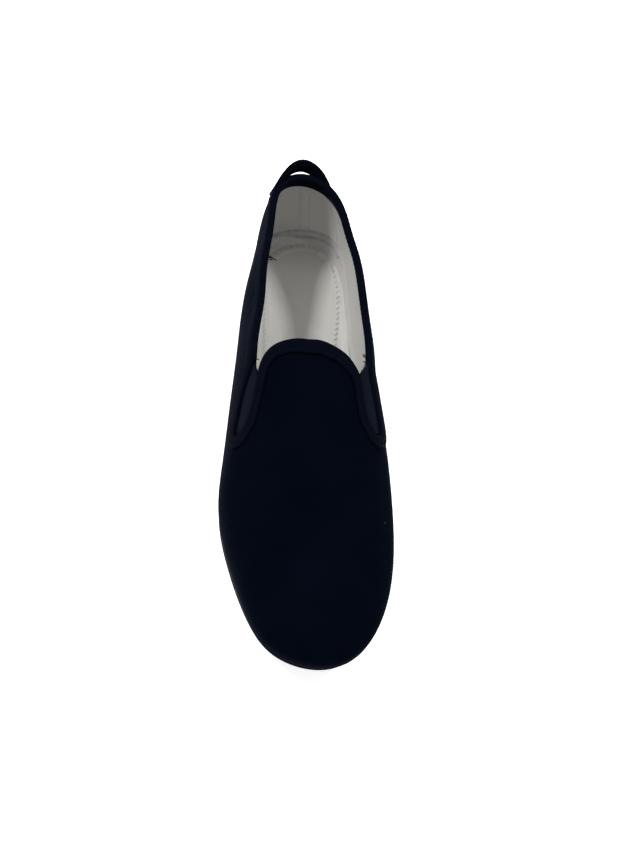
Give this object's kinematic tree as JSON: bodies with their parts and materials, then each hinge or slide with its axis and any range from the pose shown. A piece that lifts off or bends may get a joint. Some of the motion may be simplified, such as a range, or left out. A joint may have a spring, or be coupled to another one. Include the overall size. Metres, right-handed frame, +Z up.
{
  "type": "cloth shoe",
  "caption": "Dark cloth slip-on shoe for the right foot with pale lining, bound collar, elastic side gores, a heel pull loop and a thin rubber sole.",
  "frame": {"origin": "on the floor, in the middle of the flat spot under the heel, where the shoe rests", "axes": "+Z up; +Y towards the heel along the length of the shoe, with the toe at -Y; +X towards the inner side of the foot"},
  "size_m": [0.0895, 0.2696, 0.081],
  "materials": {
    "sole": "matt black moulded rubber",
    "lining": "off-white cotton",
    "upper": "very dark navy brushed cotton",
    "tape": "dark navy woven tape",
    "elastic": "dark ribbed elastic"
  },
  "bodies": {
    "root": {"outsole": "sole", "insole": "lining", "upper": "upper", "binding": "tape", "gore_medial": "elastic", "gore_lateral": "elastic", "heel_loop": "tape"}
  },
  "joints": []
}
